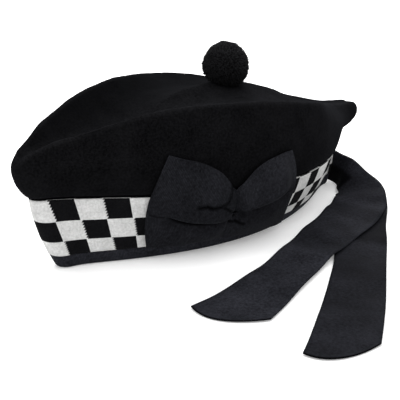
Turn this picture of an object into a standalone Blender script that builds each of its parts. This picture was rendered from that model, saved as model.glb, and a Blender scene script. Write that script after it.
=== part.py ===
"""A Glengarry bonnet standing on its rim, as separate pieces.

The front point of the bonnet looks along -Y, its rear point along +Y, and the wearer's
left side, which carries the bow, along +X. The rim rests on the plane z = 0 and the
origin is the middle of the rim.
"""
import math
from collections import namedtuple

import bmesh
import bpy
import numpy as np

# Rim, on the resting plane
RIM_LENGTH = 0.280
RIM_HALF_WIDTH = 0.0495
RIM_POINT_RADIUS = 0.008
RIM_FULLNESS = 1.12

# Top edge of the diced band
BAND_LENGTH = 0.317
BAND_HALF_WIDTH = 0.0705
BAND_TOP_HEIGHT = 0.0535
BAND_FRONT_REACH = 0.018

# Side ridges, where the wall folds over into the top
RIDGE_LENGTH = 0.338
RIDGE_HALF_WIDTH = 0.067
RIDGE_HEIGHT = 0.110
RIDGE_FRONT_REACH = 0.026
POINT_RADIUS = 0.007

# Raised fold along the middle of the top, and the hollow on each side of it
CENTRE_HEIGHT = 0.110
HOLLOW_DEPTH = 0.008

# Cloth
FELT = 0.002
KNIT = 0.0016
GROSGRAIN = 0.001
BINDING_HEIGHT = 0.010
BINDING_SETBACK = 0.0006
CLEARANCE = 0.0004
WALL_BULGE = 0.008
BAND_BULGE = 0.0025
LEDGE_SHARE = 0.03

# Wool ball on the middle fold
TOORIE_DIAMETER = 0.035
TOORIE_ALONG = 0.159
TOORIE_LOCKS = 110
TOORIE_LOCK_DEPTH = 0.0016
TOORIE_LOCK_OVERLAP = 1.1
TOORIE_SEATING = 0.66

# Bow of folded ribbon on the left side, in shares of the wall: along the bonnet, and up
# the wall from 0 at the rim through 1 at the top of the band to 2 at the ridge
BOW_MIDDLE = 0.396
BOW_FRONT_END = 0.200
BOW_REAR_END = 0.558
FRONT_EDGE_LEAN = 0.056
REAR_EDGE_LEAN = 0.023
REAR_EDGE_FOOT = 0.030
BOW_SEAM = 0.002
PLEAT_STEP = 0.02

# How far the bow stands off the wall: its back layer, its edges and its fullest part
BOW_STANDOFF = 0.0008
BOW_LOOP_EDGE = 0.0032
BOW_DEPTH = 0.009

# Ribbon tails, which stand on edge behind the rear point, turn and come to lie flat
RIBBON_WIDTH = 0.0395
STEM_LENGTH = 0.054
NEAR_TAIL_LENGTH = 0.2442
FAR_TAIL_LENGTH = 0.2633
NEAR_TAIL_SLANT = 0.0162
FAR_TAIL_SLANT = 0.024
TAIL_END_ROUNDING = 0.011
STEM_GAP = 0.0004
LAYER_GAP = 0.0006
FLOOR_GAP = 0.0002

# Shares of the ribbon's width: the run over which a tail's end turns to its cut, and how
# far apart the two tails' middles are where they stop lying one on the other and where
# they are wholly beside each other
END_RUN = 2.0
TAILS_OVERLAP = 1.1
TAILS_APART = 1.5

# Mesh steps
STATIONS = 30
BAND_ROWS = 4
BINDING_ROWS = 2
LOWER_ROWS = 4
UPPER_ROWS = 6
TOP_ROWS = 8
WALL_SAMPLES = 160
LOOP_LOWER_ROWS = 3
LOOP_UPPER_ROWS = 5
LOOP_COLUMNS = 9
STEM_STEPS = 14
TAIL_STEPS = 18
TAIL_ROWS = 6
WALL_PROBE = 0.01
MERGE_DISTANCE = 0.00002

# Shares of the sizes above. Each row is a section across the bonnet, at a share of the
# length of each edge from its front point to its rear point. The widths are shares of the
# half widths, the heights, the hollow and the bulge are shares of their own sizes, and the
# reach is how far back the band's edge has come, as a share of its length.
Section = namedtuple(
    "Section",
    "along band_reach band_width ridge_width band_height ridge_height centre_height"
    " hollow bulge",
)
SECTIONS = (
    Section(0.00, 0.000, 0.000, 0.000, 1.000, 0.773, 0.773, 0.00, 0.85),
    Section(0.08, 0.080, 0.205, 0.250, 0.970, 0.868, 0.780, 0.00, 0.75),
    Section(0.19, 0.190, 0.500, 0.515, 0.930, 0.962, 0.805, 0.00, 0.60),
    Section(0.31, 0.310, 0.770, 0.752, 0.885, 1.000, 0.880, 0.20, 0.50),
    Section(0.42, 0.420, 0.935, 0.906, 0.860, 0.987, 0.975, 0.75, 0.50),
    Section(0.54, 0.540, 1.000, 1.000, 0.835, 0.942, 0.985, 1.00, 0.50),
    Section(0.66, 0.660, 0.925, 0.940, 0.830, 0.866, 0.903, 0.90, 0.55),
    Section(0.78, 0.776, 0.720, 0.510, 0.835, 0.750, 0.748, 0.35, 0.90),
    Section(0.90, 0.880, 0.300, 0.130, 0.840, 0.647, 0.644, 0.00, 1.25),
    Section(1.00, 0.954, 0.000, 0.000, 0.840, 0.609, 0.609, 0.00, 1.10),
)

# How full the ribbon is at mid height between each pleat and edge, as shares of the depth
Swell = namedtuple("Swell", "edge middle")
UPPER_SWELL = Swell(0.55, 1.00)
LOWER_SWELL = Swell(0.18, 0.40)

# Loops of the bow, each row at a share of the way out from the middle: the heights of its
# top, its pleat and its bottom up the wall, and how full it stands off the wall
Loop = namedtuple("Loop", "out top pleat bottom fullness")
FRONT_LOOP = (
    Loop(0.00, 0.94, 0.69, 0.24, 0.45),
    Loop(0.12, 1.09, 0.66, 0.25, 0.75),
    Loop(0.25, 1.25, 0.64, 0.26, 0.95),
    Loop(0.40, 1.33, 0.62, 0.27, 1.00),
    Loop(0.60, 1.41, 0.64, 0.28, 0.90),
    Loop(0.80, 1.46, 0.68, 0.28, 0.70),
    Loop(1.00, 1.52, 0.79, 0.26, 0.35),
)
REAR_LOOP = (
    Loop(0.00, 1.02, 0.69, 0.24, 0.40),
    Loop(0.14, 1.13, 0.72, 0.23, 0.65),
    Loop(0.30, 1.25, 0.75, 0.22, 0.85),
    Loop(0.50, 1.34, 0.80, 0.21, 0.95),
    Loop(0.70, 1.39, 0.85, 0.19, 0.90),
    Loop(0.85, 1.42, 0.88, 0.18, 0.70),
    Loop(1.00, 1.43, 0.93, 0.17, 0.35),
)

# The stem that both tails share and the free run of each, from the bonnet outwards:
# heading in the plan and roll about it, in degrees, and the width as it lies, as a share
# of the ribbon's
Bend = namedtuple("Bend", "along heading roll width")
STEM = (
    Bend(0.00, -6.0, 82.0, 0.690),
    Bend(0.25, -17.0, 78.5, 0.655),
    Bend(0.45, -25.7, 68.0, 0.680),
    Bend(0.70, -17.6, 30.3, 0.767),
    Bend(1.00, -43.2, 11.0, 1.000),
)
NEAR_TAIL = (
    Bend(0.00, -43.2, 11.0, 1.000),
    Bend(0.10, -59.5, 2.0, 1.090),
    Bend(0.30, -71.3, 0.0, 1.090),
    Bend(0.60, -71.3, 0.0, 0.926),
    Bend(0.80, -74.5, 0.0, 1.000),
    Bend(1.00, -79.6, 0.0, 1.240),
)
FAR_TAIL = (
    Bend(0.00, -43.2, 11.0, 1.000),
    Bend(0.10, -53.2, 2.0, 1.070),
    Bend(0.30, -49.6, 0.0, 1.017),
    Bend(0.55, -53.3, 0.0, 0.915),
    Bend(0.75, -55.6, 0.0, 0.976),
    Bend(1.00, -58.8, 0.0, 1.044),
)

SIDE_FLARE = BAND_HALF_WIDTH - RIM_HALF_WIDTH
REAR_FLARE = BAND_LENGTH * SECTIONS[-1].band_reach - BAND_FRONT_REACH - RIM_LENGTH
WALL_FLARE = max(SIDE_FLARE, REAR_FLARE) + 4 * BAND_BULGE
WALL_LEAN = math.atan2(WALL_FLARE, BAND_TOP_HEIGHT * SECTIONS[-1].band_height)
ACROSS = 1.0 / math.cos(WALL_LEAN)
FELT_INSET = KNIT * ACROSS + CLEARANCE
INNER_LEG_INSET = FELT_INSET + FELT * ACROSS + CLEARANCE + GROSGRAIN * ACROSS
FELT_EDGE_HEIGHT = GROSGRAIN + CLEARANCE


def column(name, along, table=SECTIONS):
    """Reads one column of a table as a smooth curve through its rows."""
    knots = np.array([row[0] for row in table])
    values = np.array([getattr(row, name) for row in table], dtype=float)
    slopes = np.gradient(values, knots)
    at = np.clip(np.searchsorted(knots, along) - 1, 0, len(knots) - 2)
    step = knots[at + 1] - knots[at]
    share = (along - knots[at]) / step
    return (
        (1 + 2 * share) * (1 - share) ** 2 * values[at]
        + share * (1 - share) ** 2 * step * slopes[at]
        + share**2 * (3 - 2 * share) * values[at + 1]
        + share**2 * (share - 1) * step * slopes[at + 1]
    )


def stations(count=STATIONS):
    """Shares of the length, close together at both points of the bonnet."""
    return (1 - np.cos(np.linspace(0, math.pi, count + 1))) / 2


def rounded(width, along, length, radius):
    """Rounds both points of a lens of that half width to the given radius."""
    from_point = np.minimum(length * np.minimum(along, 1 - along), radius)
    arc = np.sqrt(np.maximum(radius**2 - (radius - from_point) ** 2, 0))
    return np.cbrt(width**3 + arc**3)


def edge(width, height, along, reach, length, front, radius):
    """Points of one side of an edge curve, whose front point is at y = front."""
    x = rounded(width, along, length, radius)
    y = front + length * reach
    return np.stack([x, y, height], axis=-1)


def rim_edge(along):
    width = RIM_HALF_WIDTH * (4 * along * (1 - along)) ** RIM_FULLNESS
    front = -RIM_LENGTH / 2
    return edge(width, 0 * along, along, along, RIM_LENGTH, front, RIM_POINT_RADIUS)


def band_edge(along):
    width = BAND_HALF_WIDTH * column("band_width", along)
    height = BAND_TOP_HEIGHT * column("band_height", along)
    reach = column("band_reach", along)
    front = -RIM_LENGTH / 2 - BAND_FRONT_REACH
    return edge(width, height, along, reach, BAND_LENGTH, front, POINT_RADIUS)


def ridge_edge(along):
    width = RIDGE_HALF_WIDTH * column("ridge_width", along)
    height = RIDGE_HEIGHT * column("ridge_height", along)
    front = -RIM_LENGTH / 2 - RIDGE_FRONT_REACH
    return edge(width, height, along, along, RIDGE_LENGTH, front, POINT_RADIUS)


def outward(points):
    """Level unit vectors square to an edge curve, pointing out of the bonnet."""
    run = np.gradient(points, axis=0)
    out = np.stack([run[:, 1], -run[:, 0], 0 * run[:, 0]], axis=-1)
    out[0] = (0, -1, 0)
    out[-1] = (0, 1, 0)
    return out / np.linalg.norm(out, axis=1, keepdims=True)


def lower_wall(along, share, inset=0.0):
    """The wall between the rim, at share 0, and the top of the band, at share 1."""
    bulge = BAND_BULGE * 4 * share * (1 - share)
    share = np.reshape(share, (-1, 1))
    points = rim_edge(along) * (1 - share) + band_edge(along) * share
    return points + outward(points) * np.reshape(bulge - inset, (-1, 1))


def wall_at_height(along, height, inset=0.0):
    """The lower wall at one height above the resting plane."""
    return lower_wall(along, height / band_edge(along)[:, 2], inset)


def upper_wall(along, share):
    """The wall between the top of the band, at share 0, and the ridge, at share 1."""
    bottom = band_edge(along)
    top = ridge_edge(along)
    bulge = WALL_BULGE * column("bulge", along) * 4 * share * (1 - share)
    return bottom * (1 - share) + top * share + outward(top) * bulge[:, None]


def top_surface(along, across):
    """The top at a share across, 0 on the middle fold and 1 on the side ridge."""
    points = ridge_edge(along)
    middle = CENTRE_HEIGHT * column("centre_height", along)
    hollow = HOLLOW_DEPTH * column("hollow", along) * math.sin(math.pi * across)
    height = middle + (points[:, 2] - middle) * across**2 - hollow
    return np.stack([points[:, 0] * across, points[:, 1], height], axis=-1)


def material(name, colour, roughness):
    """A plain dielectric finish."""
    made = bpy.data.materials.new(name)
    made.use_nodes = True
    shader = made.node_tree.nodes["Principled BSDF"]
    shader.inputs["Base Color"].default_value = (*colour, 1.0)
    shader.inputs["Roughness"].default_value = roughness
    shader.inputs["Metallic"].default_value = 0.0
    return made


def add_object(name, mesh, finish, collection):
    """Puts a mesh into the collection as one named, smooth-shaded piece."""
    piece = bpy.data.objects.new(name, mesh)
    collection.objects.link(piece)
    mesh.materials.append(finish)
    mesh.shade_smooth()
    return piece


def sheet_mesh(name, rows):
    """An open surface through rows of points, with coinciding points merged."""
    grid = np.array(rows)
    count, width = grid.shape[:2]
    corner = np.arange(count * width).reshape(count, width)
    faces = np.stack(
        [corner[:-1, :-1], corner[:-1, 1:], corner[1:, 1:], corner[1:, :-1]], axis=-1
    )
    mesh = bpy.data.meshes.new(name)
    mesh.from_pydata(grid.reshape(-1, 3).tolist(), [], faces.reshape(-1, 4).tolist())
    shape = bmesh.new()
    shape.from_mesh(mesh)
    bmesh.ops.remove_doubles(shape, verts=shape.verts, dist=MERGE_DISTANCE)
    bmesh.ops.dissolve_degenerate(shape, edges=shape.edges, dist=MERGE_DISTANCE)
    shape.to_mesh(mesh)
    shape.free()
    return mesh


def mirrored_shell(name, rows, thickness, finish, collection):
    """Mirrors half a surface across x = 0 and thickens it inwards."""
    piece = add_object(name, sheet_mesh(name, rows), finish, collection)
    mirror = piece.modifiers.new("Both sides", "MIRROR")
    mirror.use_clip = True
    mirror.merge_threshold = MERGE_DISTANCE
    wall = piece.modifiers.new("Wall", "SOLIDIFY")
    wall.thickness = thickness
    wall.offset = -1.0
    return piece


def build_crown(collection):
    """The felted crown: wall behind the band, wall above it, ridges, hollows and fold."""
    along = stations()
    band_top = band_edge(along)[:, 2]
    lowest = FELT_EDGE_HEIGHT / band_top
    over_band = (KNIT * math.sin(WALL_LEAN) + CLEARANCE) / band_top
    rows = [
        lower_wall(along, lowest + (1 + over_band - lowest) * share, FELT_INSET)
        for share in np.linspace(0, 1, LOWER_ROWS + 1)
    ]
    rows += [upper_wall(along, share) for share in np.linspace(LEDGE_SHARE, 1, UPPER_ROWS)]
    rows += [top_surface(along, across) for across in np.linspace(1, 0, TOP_ROWS + 1)[1:]]
    wool = material("black wool", (0.012, 0.012, 0.014), 0.9)
    return mirrored_shell("crown", rows, FELT, wool, collection)


def build_band(collection):
    """The knitted band, from just above the binding up to the wool."""
    along = stations()
    lowest = (BINDING_HEIGHT + CLEARANCE) / band_edge(along)[:, 2]
    rows = [
        lower_wall(along, lowest + (1 - lowest) * share)
        for share in np.linspace(0, 1, BAND_ROWS + 1)
    ]
    knit = material("diced knit", (0.75, 0.74, 0.71), 0.9)
    return mirrored_shell("diced_band", rows, KNIT, knit, collection)


def build_binding(collection):
    """The ribbon folded over the lower edge of the crown, flat where it rests."""
    along = stations()
    heights = np.linspace(BINDING_HEIGHT, 0, BINDING_ROWS + 1)
    rows = [wall_at_height(along, height, INNER_LEG_INSET) for height in heights]
    rows += [wall_at_height(along, height, BINDING_SETBACK) for height in heights[::-1]]
    ribbon = material("black grosgrain", (0.02, 0.021, 0.026), 0.7)
    piece = mirrored_shell("edge_binding", rows, GROSGRAIN, ribbon, collection)
    piece.modifiers["Wall"].use_even_offset = True
    return piece


def build_toorie(collection):
    """The wool ball: locks raised on a round head, seated on the middle fold."""
    radius = TOORIE_DIAMETER / 2
    index = np.arange(TOORIE_LOCKS)
    rise = 1 - 2 * (index + 0.5) / TOORIE_LOCKS
    turn = index * math.pi * (3 - math.sqrt(5))
    level = np.sqrt(1 - rise**2)
    locks = np.stack([level * np.cos(turn), level * np.sin(turn), rise], axis=-1)
    lock_reach = math.sqrt(4 / TOORIE_LOCKS) * TOORIE_LOCK_OVERLAP

    shape = bmesh.new()
    bmesh.ops.create_icosphere(shape, subdivisions=4, radius=1.0)
    mesh = bpy.data.meshes.new("toorie")
    shape.to_mesh(mesh)
    shape.free()
    points = np.empty(len(mesh.vertices) * 3)
    mesh.vertices.foreach_get("co", points)
    points = points.reshape(-1, 3)
    nearest = np.arccos(np.clip(points @ locks.T, -1, 1)).min(axis=1)
    dome = np.clip(1 - (nearest / lock_reach) ** 2, 0, 1)
    points = points * (radius - TOORIE_LOCK_DEPTH * (1 - dome))[:, None]

    seat_along = (TOORIE_ALONG + RIDGE_FRONT_REACH) / RIDGE_LENGTH
    seat = CENTRE_HEIGHT * column("centre_height", np.array([seat_along]))[0]
    centre = np.array([0, TOORIE_ALONG - RIM_LENGTH / 2, seat + radius * TOORIE_SEATING])
    points = points + centre
    floor = top_height(points[:, 0], points[:, 1]) + 2 * CLEARANCE
    points[:, 2] = np.maximum(points[:, 2], floor)
    mesh.vertices.foreach_set("co", points.ravel())
    wool = material("toorie wool", (0.01, 0.01, 0.011), 0.95)
    return add_object("toorie", mesh, wool, collection)


def top_height(x, y):
    """Height of the crown's top over points of the plan."""
    along = (y + RIM_LENGTH / 2 + RIDGE_FRONT_REACH) / RIDGE_LENGTH
    ridge = ridge_edge(along)
    across = np.clip(np.abs(x) / ridge[:, 0], 0, 1)
    middle = CENTRE_HEIGHT * column("centre_height", along)
    hollow = HOLLOW_DEPTH * column("hollow", along) * np.sin(math.pi * across)
    return middle + (ridge[:, 2] - middle) * across**2 - hollow


def on_wall(along, share, standoff):
    """The point at that share along and up the wall, at a distance off it."""
    steps = stations(WALL_SAMPLES)
    rows = []
    for height in (share, share + WALL_PROBE):
        lower = height < 1
        rows.append(lower_wall(steps, height) if lower else upper_wall(steps, height - 1))
    here, above = rows
    run = np.gradient(here, axis=0)
    normal = np.cross(run, above - here)
    found = [
        np.array([np.interp(along, steps, values[:, axis]) for axis in range(3)])
        for values in (here, normal)
    ]
    return found[0] + found[1] / np.linalg.norm(found[1]) * standoff


def loop_end(height, front):
    """Where a loop's outer edge lies along the wall, at a share of the loop's height."""
    top = max(0.0, 2 * height - 1)
    foot = max(0.0, 1 - 2 * height)
    if front:
        return BOW_FRONT_END + FRONT_EDGE_LEAN * height**2
    return BOW_REAR_END + REAR_EDGE_FOOT * foot**2 - REAR_EDGE_LEAN * top**2


def swelling(swell, share):
    """Fullness from one edge of a fold, at share 0, over its middle to the other edge."""
    return swell.edge + (swell.middle - swell.edge) * math.sin(math.pi * share)


def build_bow_loop(name, table, front, finish, collection):
    """One loop of ribbon: a full front layer with a pleat, and a layer along the wall."""
    side = -1 if front else 1
    middle = BOW_MIDDLE + side * BOW_SEAM
    below = [(share, False) for share in np.linspace(0, 1, LOOP_LOWER_ROWS + 1)]
    over = [(share, True) for share in np.linspace(0, 1, LOOP_UPPER_ROWS + 1)]
    rows = []
    for share, upper in below + over:
        front_layer = []
        back_layer = []
        for out in np.linspace(0, 1, LOOP_COLUMNS + 1):
            top, pleat, bottom, fullness = (
                float(column(part, np.array([out]), table)[0])
                for part in ("top", "pleat", "bottom", "fullness")
            )
            if upper:
                foot = pleat + PLEAT_STEP
                height = foot + (top - foot) * share
                swell = swelling(UPPER_SWELL, share)
            else:
                height = bottom + (pleat - bottom) * share
                swell = swelling(LOWER_SWELL, share)
            end = loop_end((height - bottom) / (top - bottom), front)
            along = middle + (end - middle) * out
            depth = BOW_LOOP_EDGE + BOW_DEPTH * fullness * swell
            front_layer.append(on_wall(along, height, depth))
            back_layer.append(on_wall(along, height, BOW_STANDOFF))
        turn_reach = side * (depth - BOW_STANDOFF) / 2 / RIDGE_LENGTH
        turn = on_wall(along + turn_reach, height, (depth + BOW_STANDOFF) / 2)
        rows.append(front_layer + [turn] + back_layer[::-1])
    if front:
        rows = rows[::-1]
    piece = add_object(name, sheet_mesh(name, rows), finish, collection)
    wall = piece.modifiers.new("Ribbon", "SOLIDIFY")
    wall.thickness = GROSGRAIN
    wall.offset = -1.0
    return piece


def tail_bends(part, run, table, length):
    """One value along the stem and then along one tail."""
    on_stem = column(part, np.clip(run / STEM_LENGTH, 0, 1), STEM)
    on_tail = column(part, np.clip((run - STEM_LENGTH) / length, 0, 1), table)
    return np.where(run < STEM_LENGTH, on_stem, on_tail)


def tail_route(table, length):
    """Middle line of a tail, its headings, the vectors across it and off its face."""
    on_stem = np.linspace(0, STEM_LENGTH, STEM_STEPS + 1)
    on_tail = np.linspace(STEM_LENGTH, STEM_LENGTH + length, TAIL_STEPS + 1)
    run = np.concatenate([on_stem, on_tail[1:]])
    heading = np.radians(tail_bends("heading", run, table, length))
    roll = np.radians(tail_bends("roll", run, table, length))
    width = RIBBON_WIDTH * tail_bends("width", run, table, length)
    along = np.stack([np.cos(heading), np.sin(heading), 0 * heading], axis=-1)
    level = np.stack([-np.sin(heading), np.cos(heading), 0 * heading], axis=-1)
    across = level * np.cos(roll)[:, None]
    across[:, 2] = np.sin(roll)

    steps = (along[:-1] + along[1:]) / 2 * np.diff(run)[:, None]
    route = np.concatenate([np.zeros((1, 3)), np.cumsum(steps, axis=0)])
    route[:, 2] = GROSGRAIN / 2 + FLOOR_GAP + width * np.sin(np.abs(roll)) / 2
    stern = wall_at_height(stations(), route[0, 2])[-1]
    layer = GROSGRAIN + LAYER_GAP
    both = GROSGRAIN / 2 + layer + CLEARANCE
    route[:, 1] += stern[1] + STEM_GAP + both / math.sin(roll[0])

    twist = np.gradient(roll, run) * width / 2
    face = np.cross(along, across) * (layer * np.hypot(1, twist))[:, None]
    return run, route, along, across * width[:, None], face


def build_tail(name, parts, slant, finish, collection):
    """One tail: a ribbon along its route, cut to a slanting round end."""
    run, route, along, across = parts
    near_end = np.clip(1 - (run[-1] - run) / (END_RUN * RIBBON_WIDTH), 0, 1)
    rows = []
    for share in np.linspace(-0.5, 0.5, TAIL_ROWS + 1):
        reach = TAIL_END_ROUNDING * (1 - 4 * share**2) - slant * share
        rows.append(route + across * share + along * (near_end * reach)[:, None])
    piece = add_object(name, sheet_mesh(name, rows), finish, collection)
    wall = piece.modifiers.new("Ribbon", "SOLIDIFY")
    wall.thickness = GROSGRAIN
    wall.offset = 0.0
    return piece


def build_tails(finish, collection):
    """Both tails: the near one lies on the far one until the two have parted."""
    run, far, along, across, _ = tail_route(FAR_TAIL, FAR_TAIL_LENGTH)
    build_tail("far_tail", (run, far, along, across), FAR_TAIL_SLANT, finish, collection)
    run, near, along, across, face = tail_route(NEAR_TAIL, NEAR_TAIL_LENGTH)
    apart = np.linalg.norm(near[:, None, :2] - far[None, :, :2], axis=-1).min(axis=1)
    beside = (apart / RIBBON_WIDTH - TAILS_OVERLAP) / (TAILS_APART - TAILS_OVERLAP)
    on_top = 1 - np.clip(beside, 0, 1)
    near = near + face * on_top[:, None]
    build_tail("near_tail", (run, near, along, across), NEAR_TAIL_SLANT, finish, collection)


def main():
    """Clears the scene and builds the bonnet into its own collection."""
    for old in list(bpy.data.objects):
        bpy.data.objects.remove(old, do_unlink=True)
    bonnet = bpy.data.collections.new("glengarry_bonnet")
    bpy.context.scene.collection.children.link(bonnet)
    build_crown(bonnet)
    build_band(bonnet)
    build_binding(bonnet)
    build_toorie(bonnet)
    ribbon = material("black ribbon", (0.02, 0.021, 0.027), 0.75)
    build_bow_loop("bow_front_loop", FRONT_LOOP, True, ribbon, bonnet)
    build_bow_loop("bow_rear_loop", REAR_LOOP, False, ribbon, bonnet)
    build_tails(ribbon, bonnet)


main()
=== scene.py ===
"""A Glengarry bonnet in felted wool, diced knit and black ribbon.

The front point looks along -Y, the bow and the tails lie on the +X side, and the rim
rests on the plane z = 0. Every surface is worked out from the same sizes and tables as
the solids that it stands for, on finer grids, with the folds that cloth has.
"""
import math
from collections import namedtuple

import bmesh
import bpy
import numpy as np
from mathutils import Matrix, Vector


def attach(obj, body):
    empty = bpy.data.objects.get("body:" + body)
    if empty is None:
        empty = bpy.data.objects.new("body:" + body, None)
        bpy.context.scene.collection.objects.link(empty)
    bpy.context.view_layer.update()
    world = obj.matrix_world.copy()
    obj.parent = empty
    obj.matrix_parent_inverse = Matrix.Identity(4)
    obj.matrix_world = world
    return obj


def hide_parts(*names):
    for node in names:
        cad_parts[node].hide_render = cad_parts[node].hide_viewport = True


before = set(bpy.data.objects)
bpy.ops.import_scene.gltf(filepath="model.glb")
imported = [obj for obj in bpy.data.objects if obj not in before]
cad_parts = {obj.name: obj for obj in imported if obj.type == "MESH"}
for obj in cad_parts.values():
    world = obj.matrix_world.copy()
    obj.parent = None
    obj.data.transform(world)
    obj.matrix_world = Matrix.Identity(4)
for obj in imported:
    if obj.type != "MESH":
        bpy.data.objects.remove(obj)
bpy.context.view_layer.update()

bl_info = {
    "name": "Glengarry Bonnet",
    "version": (1, 0, 0),
    "blender": (4, 5, 0),
    "location": "View3D > Sidebar > Bonnet",
    "description": "Makes a felted bonnet with a diced band, a ribbon bow and tails",
    "category": "Add Mesh",
}

# Rim, top edge of the band, and side ridges
RIM_LENGTH = 0.280
RIM_HALF_WIDTH = 0.0495
RIM_POINT_RADIUS = 0.008
RIM_FULLNESS = 1.12
BAND_LENGTH = 0.317
BAND_HALF_WIDTH = 0.0705
BAND_TOP_HEIGHT = 0.0535
BAND_FRONT_REACH = 0.018
RIDGE_LENGTH = 0.338
RIDGE_HALF_WIDTH = 0.067
RIDGE_HEIGHT = 0.110
RIDGE_FRONT_REACH = 0.026
POINT_RADIUS = 0.007
CENTRE_HEIGHT = 0.110
HOLLOW_DEPTH = 0.008

# Cloth
FELT = 0.002
KNIT = 0.0016
GROSGRAIN = 0.001
BINDING_HEIGHT = 0.010
BINDING_SETBACK = 0.0006
CLEARANCE = 0.0004
WALL_BULGE = 0.008
BAND_BULGE = 0.0025
LEDGE_SHARE = 0.03
LAYER_GAP = 0.0006
FLOOR_GAP = 0.0002
BINDING_EASING = 3
# Painted light: the binding's ribbon a tenth lighter, for the light from the floor below it
BINDING_PAINTED_LIGHT = 1.1
KNIT_SUNK = 0.000144
MERGE_DISTANCE = 0.00002

# Felt: how softly the middle fold turns, how far the blunting of a point reaches, how far from
# the ridge the top's painted light and shade start in full, between which heights the
# unevenness grows in, and the clamp of the wall: nowhere is it thicker than the shortest edge
# there over this number, which keeps the inner face from crossing itself at the points
FOLD_SOFTNESS = 0.035
POINT_REACH = 0.006
TOP_LIGHT_MARGIN = 0.004
LOOSE_FELT = (0.050, 0.070)
FELT_CLAMP = 2.0

# Wool ball
TOORIE_RADIUS = 0.0175
TOORIE_ALONG = 0.1575
TOORIE_SEATING = 0.66
TOORIE_GAP = 0.0008
TOORIE_LEAN = (0.63, 0.70, 0.15)
TOORIE_DRAWN = 0.06
TOORIE_FLATTENED = 0.045

# Tufts of yarn: how deep they start, their widths and their lengths, all in shares of the set
# length, how far the root goes in in metres, how much they turn from straight, and the painted
# shade of their root and of the head between the tufts
TUFT_SUNK = 0.55
TUFT_ROOT = 0.0003
TUFT_WIDTHS = (0.28, 0.46)
TUFT_LENGTHS = (0.6, 1.25)
TUFT_SCATTER = 0.02
TUFT_SWEEP = 0.38
TUFT_LEAN = 0.10
TUFT_SEED = 31
ROOT_PAINTED_SHADE = 0.15
HEAD_PAINTED_SHADE = 0.1

# Bow. Places, leans and laps are in shares of the wall: along the bonnet, and up it from 0
# at the rim through 1 at the top of the band to 2 at the ridge. Depths, standoffs and gaps
# are in metres
BOW_MIDDLE = 0.396
BOW_FRONT_END = 0.200
BOW_REAR_END = 0.558
FRONT_EDGE_LEAN = 0.056
REAR_EDGE_LEAN = 0.023
REAR_EDGE_FOOT = 0.030
BOW_SEAM = 0.0008
BOW_STANDOFF = 0.0014
BOW_LOOP_EDGE = 0.0030
BOW_DEPTH = 0.009
LAP_ABOVE = 0.005
LAP_BELOW = 0.003
LAP_UNDER = 0.004
LAP_DEPTH = 0.0013
# How far below the pleat the painted shade under it stays full, times the loop's fullness
PLEAT_SHADE_DROP = 0.0040
BACK_DROP = 0.06
LAP_RUN = (0.02, 0.10)
LAP_LEVELS = (0.9, 1.2)
BACK_GAP = 0.0019
# Painted light on the rear loop's upper lobe and painted shade on the lower lobes, as factors
# on the ribbon's colour
REAR_LOBE_PAINTED_LIGHT = 1.25
LOWER_LOBE_PAINTED_SHADE = 0.95

# Where a loop's fold opens out and how it swells from there, how far the gathers reach,
# and the fine wrinkles that fan out from the middle
OPENING = (0.70, 0.93)
OPEN_EDGE = 0.05
OPEN_SWELL = 0.55
# How far the painted shade under the pleat is pushed off where the fold opens, in metres, and
# the share up the ribbon where it goes into the fold, from which painted shade fades upward
OPEN_LIGHT = 0.004
FOLD_MOUTH = 0.42
GATHER_REACH = 0.075
FAN_HEIGHT = 0.0008
FAN_RAYS = 7.0
FAN_REACH = 0.42
FAN_START = (0.02, 0.12)
FAN_SPREAD = 0.55
FAN_MARGIN = 0.4
FRONT_FAN = 1.0
REAR_FAN = 2.2

# How the cloth's waves are stretched over a loop, how full it is where they show, how much the
# grid crowds at both ends, and how softly the painted light and shade of the lobes change up
# the loop
WAVE_SCALE = (0.34, 0.05)
WAVY_FULLNESS = (0.3, 0.7)
CROWDING = 0.35
TONE_EASING = 4

# Ribbon tails
RIBBON_WIDTH = 0.0395
STEM_LENGTH = 0.054
NEAR_TAIL_LENGTH = 0.2442
FAR_TAIL_LENGTH = 0.2633
NEAR_TAIL_SLANT = 0.0162
FAR_TAIL_SLANT = 0.024
TAIL_END_ROUNDING = 0.011
STEM_GAP = 0.0004
EDGE_RISE = 0.0004

# In widths of the ribbon: the run of the slanting end, how near the tails' middle lines are
# where one lies on the other, how far where it has come down, and how askew the bends and the
# bands of painted light and shade cross. Then how soon the cut end's dark fades, and between
# which shares of the stem's length the tail comes to lie
END_RUN = 2.0
TAILS_OVERLAP = 1.1
TAILS_APART = 1.5
BEND_SKEW = 0.25
LIGHT_SKEW = 0.3
CUT_SPREAD = 1.6
LYING = (0.8, 1.3)

# Stage
FLOOR_REACH = 6.0
FLOOR_DROP = 0.0003
Lamp = namedtuple("Lamp", "name place size")
LAMPS = (Lamp("overhead", (0.35, -0.25, 1.5), 1.6), Lamp("behind", (-1.0, 0.7, 0.75), 1.2))

# Points along and across the grids
CROWN_STATIONS, LOWER_ROWS, UPPER_ROWS, TOP_ROWS = 150, 13, 44, 44
BAND_STATIONS, BAND_ROWS = 220, 25
BINDING_STATIONS, LEG_ROWS, UNDER_ROWS = 200, 12, 8
HEAD_ROWS, HEAD_TURNS = 45, 65
LOOP_STATIONS, LOOP_ROWS, TURN_STATIONS = 81, 101, 11
STEM_STATIONS, TAIL_STATIONS, TAIL_ROWS = 61, 241, 17

# Camera that took the photograph, in metres, and its lens on a 36 mm frame
CAMERA_PLACE = (0.490, -0.446, 0.255)
CAMERA_AIM = (-0.7005, 0.6272, -0.3404)
CAMERA_LENS = 81.0
CAMERA_FRAME = 36.0

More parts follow.
